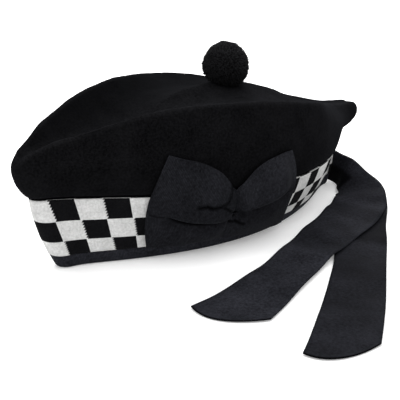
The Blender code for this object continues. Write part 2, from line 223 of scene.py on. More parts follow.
Section = namedtuple(
    "Section",
    "along band_reach band_width ridge_width band_height ridge_height centre_height"
    " hollow bulge",
)
SECTIONS = (
    Section(0.00, 0.000, 0.000, 0.000, 1.000, 0.773, 0.773, 0.00, 0.85),
    Section(0.08, 0.080, 0.205, 0.250, 0.970, 0.868, 0.780, 0.00, 0.75),
    Section(0.19, 0.190, 0.500, 0.515, 0.930, 0.962, 0.805, 0.00, 0.60),
    Section(0.31, 0.310, 0.770, 0.752, 0.885, 1.000, 0.880, 0.20, 0.50),
    Section(0.42, 0.420, 0.935, 0.906, 0.860, 0.987, 0.975, 0.75, 0.50),
    Section(0.54, 0.540, 1.000, 1.000, 0.835, 0.942, 0.985, 1.00, 0.50),
    Section(0.66, 0.660, 0.925, 0.940, 0.830, 0.866, 0.903, 0.90, 0.55),
    Section(0.78, 0.776, 0.720, 0.510, 0.835, 0.750, 0.748, 0.35, 0.90),
    Section(0.90, 0.880, 0.300, 0.130, 0.840, 0.647, 0.644, 0.00, 1.25),
    Section(1.00, 0.954, 0.000, 0.000, 0.840, 0.609, 0.609, 0.00, 1.10),
)

# Borders of the squares: metres round the band from its front point, and rows up it
Border = namedtuple("Border", "arc square")
DICING = (
    Border(0.000, 0), Border(0.0155, 1), Border(0.032, 2), Border(0.0495, 3),
    Border(0.067, 4), Border(0.1995, 12), Border(0.214, 13), Border(0.228, 14),
    Border(0.246, 15), Border(0.336, 20),
)
Course = namedtuple("Course", "share row")
DICING_ROWS = (
    Course(0.0, -1), Course(0.18, 0), Course(0.41, 1), Course(0.70, 2), Course(1.0, 3),
)

# Unevenness of the cloths: length of the waves, their height and their seed. The ball's
# are in shares of its radius
Uneven = namedtuple("Uneven", "length height seed")
FELT_WAVES = (Uneven(0.075, 0.0007, 3), Uneven(0.030, 0.0003, 5), Uneven(0.011, 0.0001, 8))
KNIT_WAVES = (Uneven(0.022, 0.00012, 12),)
FRONT_LOOP_WAVES = (Uneven(0.030, 0.00045, 40),)
REAR_LOOP_WAVES = (Uneven(0.030, 0.00045, 42),)
TAIL_WAVES = (Uneven(0.040, 0.00025, 51),)
BALL_WAVES = (Uneven(1.1, 0.018, 21), Uneven(0.42, 0.014, 22))

# Each loop at a share of the way out from the middle of the bow
Loop = namedtuple("Loop", "out top pleat bottom fullness")
FRONT_LOOP = (
    Loop(0.00, 1.00, 0.71, 0.24, 0.45),
    Loop(0.12, 1.10, 0.68, 0.25, 0.75),
    Loop(0.25, 1.24, 0.66, 0.25, 0.95),
    Loop(0.40, 1.33, 0.66, 0.24, 1.00),
    Loop(0.60, 1.41, 0.70, 0.23, 0.90),
    Loop(0.80, 1.46, 0.78, 0.23, 0.70),
    Loop(1.00, 1.52, 0.86, 0.24, 0.35),
)
REAR_LOOP = (
    Loop(0.00, 1.02, 0.72, 0.24, 0.40),
    Loop(0.14, 1.13, 0.76, 0.23, 0.65),
    Loop(0.30, 1.25, 0.80, 0.22, 0.85),
    Loop(0.50, 1.34, 0.86, 0.21, 0.95),
    Loop(0.70, 1.39, 0.94, 0.19, 0.90),
    Loop(0.85, 1.42, 0.99, 0.18, 0.70),
    Loop(1.00, 1.43, 1.04, 0.17, 0.35),
)

# The ribbon's way up a loop: level is 0 at the bottom edge, 1 at the pleat and 2 at the
# top edge, and depth is a share of how full the loop is
Fold = namedtuple("Fold", "run level depth")
FOLD = (
    Fold(0.00, 0.00, 0.10),
    Fold(0.10, 0.32, 0.40),
    Fold(0.22, 0.70, 0.36),
    Fold(0.31, 0.96, 0.14),
    Fold(0.37, 1.06, 0.10),
    Fold(0.42, 1.05, 0.36),
    Fold(0.47, 0.96, 0.66),
    Fold(0.54, 1.05, 0.94),
    Fold(0.68, 1.32, 1.02),
    Fold(0.86, 1.76, 0.60),
    Fold(1.00, 2.00, 0.03),
)

# How far the loops keep their depth at the middle of the bow, by level
Gather = namedtuple("Gather", "level kept")
GATHER = (
    Gather(0.0, 0.95), Gather(0.5, 0.75), Gather(0.9, 0.25), Gather(1.2, 0.20),
    Gather(2.0, 0.45),
)

# Lines on the bow, each point in shares of the wall along it and up it: the lower edge of the
# ribbon's inner curl, the short crease from it to the middle, the pucker below the middle and
# the wrinkle under that. The first three are sunk into the ribbon as grooves and all four carry
# painted shade; the wrinkle is painted shade only
Press = namedtuple("Press", "along height")
CURL = (
    Press(0.308, 0.915), Press(0.322, 0.945), Press(0.333, 0.905), Press(0.351, 0.920),
    Press(0.366, 0.965), Press(0.379, 1.050), Press(0.383, 1.110),
)
SHORT_CREASE = (Press(0.361, 0.885), Press(0.378, 0.800), Press(0.395, 0.725))
PUCKER = (Press(0.384, 0.560), Press(0.404, 0.540), Press(0.424, 0.490))
WRINKLE = (Press(0.380, 0.470), Press(0.378, 0.330))
CURL_SPAN = ((0.300, 0.322), (0.386, 0.392))

# How deep and how wide those lines are pressed, and how the curl stands up beside its own
Crease = namedtuple("Crease", "depth width")
CURL_GROOVE = Crease(0.0014, 0.0016)
SHORT_GROOVE = Crease(0.0008, 0.0014)
PUCKER_GROOVE = Crease(0.0010, 0.0020)
CURL_HEIGHT = 0.0030
CURL_RISE = 0.0012
CURL_FALL = 0.010
# Painted shade along the lines: the curl's distance is scaled by the first, and the short
# crease's and the wrinkle's are lengthened by these metres, which makes their painted shade
# fainter
CURL_LIGHT = 0.7
SHORT_LIGHT = 0.0004
WRINKLE_LIGHT = 0.0012

Bend = namedtuple("Bend", "along heading roll width")
STEM = (
    Bend(0.00, -6.0, 82.0, 0.690),
    Bend(0.25, -17.0, 78.5, 0.655),
    Bend(0.45, -25.7, 68.0, 0.680),
    Bend(0.70, -17.6, 30.3, 0.767),
    Bend(1.00, -43.2, 11.0, 1.000),
)
NEAR_TAIL = (
    Bend(0.00, -43.2, 11.0, 1.000),
    Bend(0.10, -59.5, 2.0, 1.090),
    Bend(0.30, -71.3, 0.0, 1.090),
    Bend(0.60, -71.3, 0.0, 0.926),
    Bend(0.80, -74.5, 0.0, 1.000),
    Bend(1.00, -79.6, 0.0, 1.240),
)
FAR_TAIL = (
    Bend(0.00, -43.2, 11.0, 1.000),
    Bend(0.10, -53.2, 2.0, 1.070),
    Bend(0.30, -49.6, 0.0, 1.017),
    Bend(0.55, -53.3, 0.0, 0.915),
    Bend(0.75, -55.6, 0.0, 0.976),
    Bend(1.00, -58.8, 0.0, 1.044),
)

# Soft bends across each tail: metres from the bonnet, half length and height
Wave = namedtuple("Wave", "run reach height")
SHARED_WAVES = (Wave(0.068, 0.010, 0.0016), Wave(0.098, 0.011, 0.0012))
NEAR_WAVES = (
    Wave(0.150, 0.014, 0.0012), Wave(0.192, 0.013, 0.0016), Wave(0.245, 0.020, 0.0010),
)
FAR_WAVES = (
    Wave(0.155, 0.013, 0.0012), Wave(0.215, 0.018, 0.0010), Wave(0.270, 0.018, 0.0008),
)

# Painted light and shade along each tail, as a share of the ribbon's own colour, for how its
# bends catch the light. The lower half gets painted shade where it stands on edge, up to the
# end of the hollow and its upper border
HOLLOW_SHADE = 0.85
HOLLOW_END = (0.0345, 0.0375)
HOLLOW_TOP = (-0.02, 0.14)
Light = namedtuple("Light", "run tone")
NEAR_LIGHT = (
    Light(0.000, 0.90), Light(0.030, 1.00), Light(0.040, 0.75), Light(0.054, 0.80),
    Light(0.070, 0.88), Light(0.080, 1.15), Light(0.090, 0.74), Light(0.104, 0.80),
    Light(0.114, 1.15), Light(0.140, 1.05), Light(0.165, 0.80), Light(0.178, 0.88),
    Light(0.192, 1.35), Light(0.215, 1.15), Light(0.245, 1.00), Light(0.275, 1.20),
    Light(0.300, 1.10),
)
FAR_LIGHT = (
    Light(0.000, 0.50), Light(0.060, 0.60), Light(0.110, 0.45), Light(0.140, 0.38),
    Light(0.152, 0.42), Light(0.160, 0.90), Light(0.185, 0.66), Light(0.210, 0.52),
    Light(0.235, 0.74), Light(0.262, 0.62), Light(0.285, 0.76), Light(0.320, 0.70),
)

SIDE_FLARE = BAND_HALF_WIDTH - RIM_HALF_WIDTH
REAR_FLARE = BAND_LENGTH * SECTIONS[-1].band_reach - BAND_FRONT_REACH - RIM_LENGTH
WALL_FLARE = max(SIDE_FLARE, REAR_FLARE) + 4 * BAND_BULGE
WALL_LEAN = math.atan2(WALL_FLARE, BAND_TOP_HEIGHT * SECTIONS[-1].band_height)
ACROSS = 1.0 / math.cos(WALL_LEAN)
FELT_INSET = KNIT * ACROSS + CLEARANCE
INNER_LEG_INSET = FELT_INSET + FELT * ACROSS + CLEARANCE + GROSGRAIN * ACROSS
FELT_EDGE_HEIGHT = GROSGRAIN + CLEARANCE


# ---------------------------------------------------------------- shape of the bonnet


def column(name, along, table=SECTIONS):
    """Reads one column of a table as a smooth curve: cubic pieces through its rows."""
    knots = np.array([row[0] for row in table])
    values = np.array([getattr(row, name) for row in table], dtype=float)
    slopes = np.gradient(values, knots)
    at = np.clip(np.searchsorted(knots, along) - 1, 0, len(knots) - 2)
    step = knots[at + 1] - knots[at]
    share = (along - knots[at]) / step
    return (
        (1 + 2 * share) * (1 - share) ** 2 * values[at]
        + share * (1 - share) ** 2 * step * slopes[at]
        + share**2 * (3 - 2 * share) * values[at + 1]
        + share**2 * (share - 1) * step * slopes[at + 1]
    )


def straight(name, along, table):
    """Reads one column of a table by straight lines between its rows."""
    return np.interp(along, [row[0] for row in table], [getattr(row, name) for row in table])


def stations(count):
    """Shares of the length, half a cosine wave, so they crowd at both points."""
    return (1 - np.cos(np.linspace(0, math.pi, count + 1))) / 2


def edge(width, height, along, reach, length, front, radius):
    """One side of an edge curve: y runs by the reach, and both points are rounded by
    adding the cubes of the width and of a circle's arc and taking the cube root."""
    from_point = np.minimum(length * np.minimum(along, 1 - along), radius)
    arc = np.sqrt(np.maximum(radius**2 - (radius - from_point) ** 2, 0))
    return np.stack([np.cbrt(width**3 + arc**3), front + length * reach, height], axis=-1)


def rim_edge(along):
    """The rim: a lens whose half width is a power of 4 a (1 - a)."""
    width = RIM_HALF_WIDTH * (4 * along * (1 - along)) ** RIM_FULLNESS
    front = -RIM_LENGTH / 2
    return edge(width, 0 * along, along, along, RIM_LENGTH, front, RIM_POINT_RADIUS)


def band_edge(along):
    """The top edge of the band, from the table of sections."""
    width = BAND_HALF_WIDTH * column("band_width", along)
    height = BAND_TOP_HEIGHT * column("band_height", along)
    reach = column("band_reach", along)
    front = -RIM_LENGTH / 2 - BAND_FRONT_REACH
    return edge(width, height, along, reach, BAND_LENGTH, front, POINT_RADIUS)


def ridge_edge(along):
    """The side ridge, from the table of sections."""
    width = RIDGE_HALF_WIDTH * column("ridge_width", along)
    height = RIDGE_HEIGHT * column("ridge_height", along)
    front = -RIM_LENGTH / 2 - RIDGE_FRONT_REACH
    return edge(width, height, along, along, RIDGE_LENGTH, front, POINT_RADIUS)


def outward(points):
    """Level unit vectors square to each row of points, pointing out of the bonnet."""
    run = np.gradient(points, axis=-2)
    out = np.stack([run[..., 1], -run[..., 0], 0 * run[..., 0]], axis=-1)
    out[..., 0, :] = (0, -1, 0)
    out[..., -1, :] = (0, 1, 0)
    return out / np.linalg.norm(out, axis=-1, keepdims=True)


def lower_wall(along, share, inset=0.0):
    """Wall from the rim, share 0, to the top of the band, share 1: a straight mix of
    both edges, pushed out by a parabola of the share and drawn in by the inset."""
    share = np.asarray(share)[..., None]
    inset = np.asarray(inset)[..., None]
    points = rim_edge(along) * (1 - share) + band_edge(along) * share
    return points + outward(points) * (BAND_BULGE * 4 * share * (1 - share) - inset)


def upper_wall(along, share):
    """Wall from the top of the band, share 0, to the ridge, share 1, likewise."""
    share = np.asarray(share)[..., None]
    top = ridge_edge(along)
    bulge = WALL_BULGE * column("bulge", along)[:, None] * 4 * share * (1 - share)
    return band_edge(along) * (1 - share) + top * share + outward(top) * bulge


def top_height(along, across, ridge, softness=0.0):
    """Height of the top at a share across, 0 on the middle fold and 1 on the ridge: a
    parabola between their heights, less a sine for the hollow. Softness rounds the fold."""
    middle = CENTRE_HEIGHT * column("centre_height", along)
    bow = np.sin(math.pi * np.minimum(np.hypot(across, softness), 1))
    hollow = HOLLOW_DEPTH * column("hollow", along) * bow
    return middle + (ridge[..., 2] - middle) * across**2 - hollow


def top_surface(along, across, softness):
    """The top at shares along and across."""
    ridge = ridge_edge(along)
    x = ridge[:, 0] * across
    height = top_height(along, across, ridge, softness)
    return np.stack([x, ridge[:, 1] + 0 * x, height], axis=-1)


def seat_height(points):
    """Height of the top under points of the plan."""
    along = (points[..., 1] + RIM_LENGTH / 2 + RIDGE_FRONT_REACH) / RIDGE_LENGTH
    ridge = ridge_edge(along)
    return top_height(along, np.clip(np.abs(points[..., 0]) / ridge[..., 0], 0, 1), ridge)


def unit(vectors):
    """The vectors at length one."""
    return vectors / np.linalg.norm(vectors, axis=-1, keepdims=True)


def soften(rows, passes, kept=0):
    """Blends each row of a grid with its neighbours, a quarter of each, that many times.
    The first kept rows and the last one stay."""
    rows = rows.copy()
    for _ in range(passes):
        blended = (rows[:-2] + 2 * rows[1:-1] + rows[2:]) / 4
        rows[1 + kept:-1] = blended[kept:]
    return rows


def ripple(points, length, seed, waves=12):
    """Smooth noise of about -1 to 1: the sum of plane waves of about that length, with
    seeded directions and phases, over the root of their number."""
    chance = np.random.default_rng(seed)
    ways = unit(chance.normal(size=(waves, 3)))
    numbers = 2 * math.pi / length * chance.uniform(0.6, 1.5, waves)
    phases = chance.uniform(0, 2 * math.pi, waves)
    return np.sin(points @ (ways * numbers[:, None]).T + phases).sum(axis=-1) / math.sqrt(waves)


def uneven(points, table):
    """The ripples of a table, each times its height, added up."""
    return sum(ripple(points, row.length, row.seed) * row.height for row in table)


def ramp(values, start, end):
    """0 before start, 1 after end, and an even curve between."""
    share = np.clip((values - start) / (end - start), 0, 1)
    return share * share * (3 - 2 * share)


def bell(values, reach):
    """A bell: 1 where the values are 0, and a power of e with their square beside it."""
    return np.exp(-((values / reach) ** 2))


def lengths(points, axis):
    """Distance run along one axis of a grid of points."""
    steps = np.linalg.norm(np.diff(points, axis=axis), axis=-1)
    return np.insert(np.cumsum(steps, axis=axis), 0, 0, axis=axis)


class Wall:
    """One side's wall as a fine grid, read by shares along it and up it."""

    def __init__(self, columns=360, rows=70, smoothing=60):
        self.along = stations(columns)
        up = np.linspace(0, 1, rows + 1)[:, None]
        self.points = np.concatenate(
            [lower_wall(self.along, up), upper_wall(self.along, up[1:])]
        )
        normals = np.cross(np.gradient(self.points, axis=1), np.gradient(self.points, axis=0))
        self.normals = unit(soften(unit(normals), smoothing))
        self.rows = rows

    def at(self, along, height, standoff):
        """Points off the wall: the grid's points and normals, read between its four
        nearest, plus the standoff along the normal."""
        column_at = np.interp(along, self.along, np.arange(len(self.along)))
        row_at = np.clip(height * self.rows, 0, len(self.points) - 1.001)
        left = np.minimum(column_at.astype(int), len(self.along) - 2)
        below = row_at.astype(int)
        side = (column_at - left)[..., None]
        up = (row_at - below)[..., None]
        read = [
            (field[below, left] * (1 - side) + field[below, left + 1] * side) * (1 - up)
            + (field[below + 1, left] * (1 - side) + field[below + 1, left + 1] * side) * up
            for field in (self.points, self.normals)
        ]
        return read[0] + unit(read[1]) * np.asarray(standoff)[..., None]


# ---------------------------------------------------------------- meshes and materials


def quads(rows, columns):
    """Corners of the faces of a grid, turned so that rows up and columns along give
    outward faces on the +X side."""
    corner = np.arange(rows * columns).reshape(rows, columns)
    return np.stack(
        [corner[:-1, :-1], corner[:-1, 1:], corner[1:, 1:], corner[1:, :-1]], axis=-1
    ).reshape(-1, 4)


def cloth(name, grid, marks=None, mirrored=False):
    """A mesh through a grid of points, and its mirror image across x = 0 where asked,
    with doubles merged. Marks are named vectors at the points, which materials read."""
    points = grid.reshape(-1, 3)
    faces = quads(*grid.shape[:2])
    marks = {mark: values.reshape(-1, 3) for mark, values in (marks or {}).items()}
    if mirrored:
        faces = np.concatenate([faces, faces[:, ::-1] + len(points)])
        points = np.concatenate([points, points * (-1, 1, 1)])
        marks = {mark: np.concatenate([values, values]) for mark, values in marks.items()}
    return mesh_of(name, points, faces.tolist(), marks, MERGE_DISTANCE, mirrored)


def mesh_of(name, points, faces, marks, merge=0.0, turned=False):
    """A mesh from points, faces and marks, with its doubles merged within a distance and
    its faces turned outward where asked."""
    mesh = bpy.data.meshes.new(name)
    mesh.from_pydata(points.tolist(), [], faces)
    for mark, values in marks.items():
        layer = mesh.attributes.new(mark, "FLOAT_VECTOR", "POINT")
        layer.data.foreach_set("vector", values.astype(np.float32).ravel())
    if merge:
        shape = bmesh.new()
        shape.from_mesh(mesh)
        bmesh.ops.remove_doubles(shape, verts=shape.verts, dist=merge)
        bmesh.ops.dissolve_degenerate(shape, edges=shape.edges, dist=merge)
        if turned:
            bmesh.ops.recalc_face_normals(shape, faces=shape.faces)
        shape.to_mesh(mesh)
        shape.free()
    mesh.shade_smooth()
    return mesh


def push(mesh, amount):
    """Moves the points of a mesh along their normals by amount(points)."""
    count = len(mesh.vertices)
    points = np.empty(count * 3)
    normals = np.empty(count * 3)
    mesh.vertices.foreach_get("co", points)
    mesh.vertex_normals.foreach_get("vector", normals)
    points = points.reshape(-1, 3)
    moved = points + normals.reshape(-1, 3) * amount(points)[:, None]
    mesh.vertices.foreach_set("co", moved.ravel())
    mesh.update()


def dress(name, mesh, finish, node, thickness=0.0, offset=-1.0, clamp=0.0):
    """Puts a mesh into the scene as the piece that stands for a node of the model, with
    its wall made thick by a modifier."""
    old = bpy.data.objects.get(name)
    if old:
        bpy.data.objects.remove(old, do_unlink=True)
    piece = bpy.data.objects.new(name, mesh)
    bpy.context.scene.collection.objects.link(piece)
    mesh.materials.append(finish)
    if thickness:
        wall = piece.modifiers.new("Cloth thickness", "SOLIDIFY")
        wall.thickness = thickness
        wall.offset = offset
        wall.use_even_offset = False
        wall.thickness_clamp = clamp
    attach(piece, "root")
    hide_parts(node)
    return piece


class Finish:
    """A procedural material while its nodes are put together."""

    def __init__(self, name, constants):
        self.material = bpy.data.materials.new(name)
        self.material.use_nodes = True
        self.tree = self.material.node_tree
        self.shader = self.tree.nodes["Principled BSDF"]
        for socket, value in constants.items():
            self.shader.inputs[socket].default_value = value

    def node(self, kind, inputs=None, **settings):
        """Adds a node with its settings, and feeds its sockets by name or number."""
        made = self.tree.nodes.new("ShaderNode" + kind)
        for key, value in settings.items():
            setattr(made, key, value)
        for key, value in (inputs or {}).items():
            self.feed(made.inputs[key], value)
        return made

    def feed(self, socket, value):
        """Joins a socket to another, or sets its own value."""
        if isinstance(value, bpy.types.NodeSocket):
            self.tree.links.new(value, socket)
        else:
            socket.default_value = value

    def math(self, operation, *values):
        """One step of arithmetic."""
        return self.node("Math", dict(enumerate(values)), operation=operation).outputs[0]

    def mixed(self, first, share, second):
        """A share of the first value and the rest of the second."""
        rest = self.math("MULTIPLY", second, 1 - share)
        return self.math("ADD", self.math("MULTIPLY", first, share), rest)

    def mark(self, name):
        """The three numbers of a named mark of the piece."""
        found = self.node("Attribute", attribute_name=name)
        parts = self.node("SeparateXYZ", {0: found.outputs["Vector"]})
        return parts.outputs[0], parts.outputs[1], parts.outputs[2]

    def grain(self, scale, detail=2.0, roughness=0.5):
        """Noise over the piece's own place, at that many grains a metre."""
        place = self.node("TexCoord").outputs["Object"]
        inputs = {"Vector": place, "Scale": scale, "Detail": detail, "Roughness": roughness}
        return self.node("TexNoise", inputs).outputs["Fac"]

    def blend(self, share, first, second):
        """A colour between two, by a share."""
        inputs = {0: share, 6: first, 7: second}
        return self.node("Mix", inputs, data_type="RGBA").outputs[2]

    def span(self, value, low, high, start=0.0, end=1.0):
        """Carries low to high over to start to end, held inside them."""
        inputs = {0: value, 1: low, 2: high, 3: start, 4: end}
        return self.node("MapRange", inputs).outputs[0]

    def relief(self, height, distance, strength, under=None):
        """Raised detail of that depth in metres."""
        inputs = {"Height": height, "Distance": distance, "Strength": strength}
        if under is not None:
            inputs["Normal"] = under
        return self.node("Bump", inputs).outputs["Normal"]

    def done(self, colour, normal, roughness=None):
        """Joins the finished colour, relief and roughness to the shader."""
        self.feed(self.shader.inputs["Base Color"], colour)
        self.feed(self.shader.inputs["Normal"], normal)
        if roughness is not None:
            self.feed(self.shader.inputs["Roughness"], roughness)
        return self.material


def shade(colour, factor):
    """A colour times a factor, with its opacity."""
    return (colour[0] * factor, colour[1] * factor, colour[2] * factor, 1.0)


def felted_wool(colour):
    """Milled wool: a matted nap over a felted ground, a little uneven in tone, with a painted
    highlight along the ridges. The top has painted light on the bow's side of the middle fold
    and painted shade beyond it."""
    finish = Finish("felted_wool", {
        "Roughness": 1.0, "Specular IOR Level": 0.0,
        "Sheen Weight": 0.011, "Sheen Roughness": 0.5, "Sheen Tint": (0.85, 0.88, 1.0, 1.0),
    })
    # The mark named nap holds the ridge's painted highlight and where the top takes painted
    # light and shade
    wear_and_painted_highlight, top_painted_light_and_shade, _ = finish.mark("nap")
    nap = finish.grain(650.0, 3.0, 0.7)
    tone = finish.span(finish.mixed(finish.grain(60.0, 2.0), 0.3, nap), 0.33, 0.67)
    felt = finish.blend(tone, shade(colour, 0.35), shade(colour, 1.65))
    # Painted light: the top's colour where it faces the light
    painted_top_light_colour = finish.blend(tone, shade(colour, 0.35), shade(colour, 2.15))
    # Colour of the painted highlight along the ridge
    line = finish.blend(tone, shade(colour, 1.0), shade(colour, 2.9))
    place = finish.node("SeparateXYZ", {0: finish.node("TexCoord").outputs["Object"]})
    # Which side of the middle fold a point is on: painted light on the bow's side, painted
    # shade beyond it
    near_side = finish.span(place.outputs[0], -0.030, 0.012, 0.0, 1.0)
    near = finish.math("MULTIPLY", top_painted_light_and_shade, near_side)
    painted_far_shade = finish.math("MULTIPLY", top_painted_light_and_shade, finish.math("SUBTRACT", 1.0, near_side))
    top = finish.blend(near, felt, painted_top_light_colour)
    # Painted shade on the far half of the top
    top = finish.blend(finish.math("MULTIPLY", painted_far_shade, 0.55), top, shade(colour, 0.25))
    matted = finish.relief(finish.grain(420.0, 3.0, 0.6), 0.0004, 0.35)
    relief = finish.relief(nap, 0.00025, 0.45, matted)
    # Painted highlight along the ridge, laid over the top
    return finish.done(finish.blend(wear_and_painted_highlight, top, line), relief)


def diced_knit(white, black, teeth=7.5, bite=0.09, wale=0.0019, course=0.0015):
    """Knit in squares. A square is white where its column and row add to an even number,
    and its rear edge runs over the next one in small teeth."""
    finish = Finish("diced_knit", {
        "Roughness": 1.0, "Specular IOR Level": 0.01,
        "Sheen Weight": 0.010, "Sheen Roughness": 0.5,
    })
    square, row, _ = finish.mark("dicing")
    arc, rise, _ = finish.mark("cloth")
    cell = finish.math("FLOOR", square)
    level = finish.math("FLOOR", row)
    count = finish.math("ADD", finish.math("ADD", cell, level), 40.0)
    odd = finish.math("MODULO", count, 2.0)
    depth = finish.math("MULTIPLY", bite, finish.math("MINIMUM", cell, 1.0))
    tooth = finish.math("FRACT", finish.math("MULTIPLY", row, teeth))
    tooth = finish.math("MULTIPLY", tooth, depth)
    bitten = finish.math("LESS_THAN", finish.math("SUBTRACT", square, cell), tooth)
    light = finish.math("MAXIMUM", finish.math("SUBTRACT", 1.0, odd), bitten)

    across = finish.math("PINGPONG", finish.math("DIVIDE", arc, wale), 0.5)
    up = finish.math("ADD", finish.math("DIVIDE", rise, course), across)
    stitch = finish.math("PINGPONG", up, 0.5)
    stitch = finish.math("ADD", finish.math("MULTIPLY", stitch, 1.2), across)
    fibre = finish.grain(600.0, 3.0, 0.6)
    wear_and_painted_highlight = finish.span(finish.mixed(fibre, 0.6, finish.grain(90.0, 2.0)), 0.3, 0.7)
    pale = finish.blend(wear_and_painted_highlight, shade(white, 0.70), shade(white, 1.20))
    dark = finish.blend(wear_and_painted_highlight, shade(black, 0.7), shade(black, 1.5))
    colour = finish.blend(light, dark, pale)
    looped = finish.relief(stitch, 0.0004, 0.5)
    return finish.done(colour, finish.relief(fibre, 0.0002, 0.4, looped))


def ribbed_ribbon(name, colour, rib=0.0011):
    """Grosgrain: fine ribs across the ribbon, with painted shade along the bow's creases and
    under its pleat, and darker towards the tails' cut ends. Its mark holds the distance along
    it, a factor of painted light and shade on its colour, and the distance from such a line or
    end."""
    finish = Finish(name, {
        "Roughness": 0.7, "Specular IOR Level": 0.004,
        "Sheen Weight": 0.008, "Sheen Roughness": 0.5, "Sheen Tint": (0.85, 0.90, 1.0, 1.0),
    })
    run, painted_light_factor, cut = finish.mark("weave")
    wave = finish.math("MULTIPLY", run, 2 * math.pi / rib)
    ribs = finish.span(finish.math("SINE", wave), -1.0, 1.0)
    thread = finish.grain(520.0, 3.0, 0.7)
    tone = finish.span(finish.mixed(finish.grain(45.0, 3.0), 0.35, thread), 0.30, 0.70)
    plain = finish.blend(tone, shade(colour, 0.05), shade(colour, 2.05))
    between = finish.blend(finish.span(ribs, 0.0, 0.5), shade(colour, 0.6), plain)
    # Painted shade near the bow's dark lines, and darker towards a tail's cut end
    painted_shade_and_dark_ends = finish.blend(finish.span(cut, 0.0004, 0.0022), shade(colour, 0.16), between)
    # Painted light and shade: the colour times the mark's factor
    toned = finish.node("VectorMath", {0: painted_shade_and_dark_ends, "Scale": painted_light_factor}, operation="SCALE")
    relief = finish.relief(thread, 0.0001, 0.35, finish.relief(ribs, 0.00012, 0.6))
    roughness = finish.span(tone, 0.0, 1.0, 0.56, 0.70)
    return finish.done(toned.outputs[0], relief, roughness)


def cut_yarn(colour):
    """Cut wool yarn, with painted shade at the roots and between the tufts, lighter towards the
    tip.
    """
    finish = Finish("cut_yarn", {
        "Roughness": 1.0, "Specular IOR Level": 0.0,
        "Sheen Weight": 0.012, "Sheen Roughness": 0.5,
    })
    height, tuft, _ = finish.mark("yarn")
    nap = finish.grain(1600.0, 3.0, 0.6)
    # Painted shade: the lower in the yarn, the darker
    tone = finish.mixed(height, 0.5, tuft)
    tone = finish.math("MULTIPLY", tone, finish.span(nap, 0.3, 0.7, 0.6, 1.2))
    colour = finish.blend(tone, shade(colour, 0.05), shade(colour, 3.0))
    return finish.done(colour, finish.relief(nap, 0.0003, 0.5))


# ---------------------------------------------------------------- pieces


def crown_mesh(passes, blunting, ridge_highlight_width):
    """The wool body: the wall behind the band, the wall above it and the top, row after row,
    with the ridge rounded, both points blunted by a bell of the distance from them, and a slow
    unevenness in the felt. Its mark holds a painted highlight along the ridge, by a bell of the
    distance from it, and where the top takes painted light and shade."""
    along = stations(CROWN_STATIONS)
    band_top = band_edge(along)[:, 2]
    lowest = FELT_EDGE_HEIGHT / band_top
    over_band = (KNIT * math.sin(WALL_LEAN) + CLEARANCE) / band_top
    rise = np.linspace(0, 1, LOWER_ROWS)[:, None]
    lower = lower_wall(along, lowest + (1 + over_band - lowest) * rise, FELT_INSET)
    upper = upper_wall(along, np.linspace(LEDGE_SHARE, 1, UPPER_ROWS)[:, None])
    top = top_surface(along, np.linspace(1, 0, TOP_ROWS)[1:, None], FOLD_SOFTNESS)
    ridge = len(lower) + len(upper) - 1
    rows = soften(np.concatenate([lower, upper, top]), passes, len(lower) - 1)
    for tip, way in ((rows[ridge, 0], 1), (rows[ridge, -1], -1)):
        near = bell(np.linalg.norm(rows - tip, axis=-1), POINT_REACH)
        rows = rows + near[..., None] * np.array([0, way * blunting, -blunting])
    from_ridge = lengths(rows, 0)
    from_ridge = from_ridge - from_ridge[ridge]
    # Painted highlight along the ridge, a bell of the distance from it
    wear_and_painted_highlight = bell(from_ridge, ridge_highlight_width)
    # Painted light and shade on the top, in full from this margin in from the ridge
    nap = np.stack([wear_and_painted_highlight, ramp(from_ridge, 0, TOP_LIGHT_MARGIN), 0 * wear_and_painted_highlight], axis=-1)
    mesh = cloth("crown_wool", rows, {"nap": nap}, True)
    push(mesh, lambda points: ramp(points[:, 2], *LOOSE_FELT) * uneven(points, FELT_WAVES))
    return mesh


def band_mesh():
    """The knitted band over the wool: rows of the lower wall, marked with its squares,
    which run by the distance round the middle of the band, and its own cloth sizes."""
    along = stations(BAND_STATIONS)
    band_top = band_edge(along)[:, 2]
    lowest = (BINDING_HEIGHT + CLEARANCE) / band_top
    share = lowest + (1 - lowest) * np.linspace(0, 1, BAND_ROWS)[:, None]
    rows = lower_wall(along, share)
    arc = lengths(rows[len(rows) // 2], 0) + 0 * share
    square = straight("square", arc, DICING)
    row = straight("row", share, DICING_ROWS)
    marks = {
        "dicing": np.stack([square, row, 0 * row], axis=-1),
        "cloth": np.stack([arc, share * BAND_TOP_HEIGHT, 0 * row], axis=-1),
    }
    mesh = cloth("diced_band_knit", rows, marks, True)
    push(mesh, lambda points: uneven(points, KNIT_WAVES) - KNIT_SUNK)
    return mesh, float(arc[0, -1])


def binding_mesh():
    """The ribbon over the lower edge of the wool: up the inside, flat below with eased
    corners, and up the outside."""
    along = stations(BINDING_STATIONS)
    leg = np.linspace(0, BINDING_HEIGHT, LEG_ROWS)
    under = np.linspace(INNER_LEG_INSET, BINDING_SETBACK, UNDER_ROWS)[1:-1]
    height = np.concatenate([leg[::-1], 0 * under, leg])[:, None]
    inset = np.concatenate(
        [INNER_LEG_INSET + 0 * leg, under, BINDING_SETBACK + 0 * leg]
    )[:, None]
    rows = lower_wall(along, height / band_edge(along)[:, 2], inset)
    rows = soften(rows, BINDING_EASING)
    run = lengths(rows[-1], 0) + 0 * rows[..., 0]
    # Painted light on the binding, as a factor on the ribbon's colour
    weave = np.stack([run, BINDING_PAINTED_LIGHT + 0 * run, 1 + 0 * run], axis=-1)
    mesh = cloth("binding_ribbon", rows, {"weave": weave}, True)
    width = lengths(rows, 0)[:, BINDING_STATIONS // 2].max()
    return mesh, float(run[0, -1]), float(width)


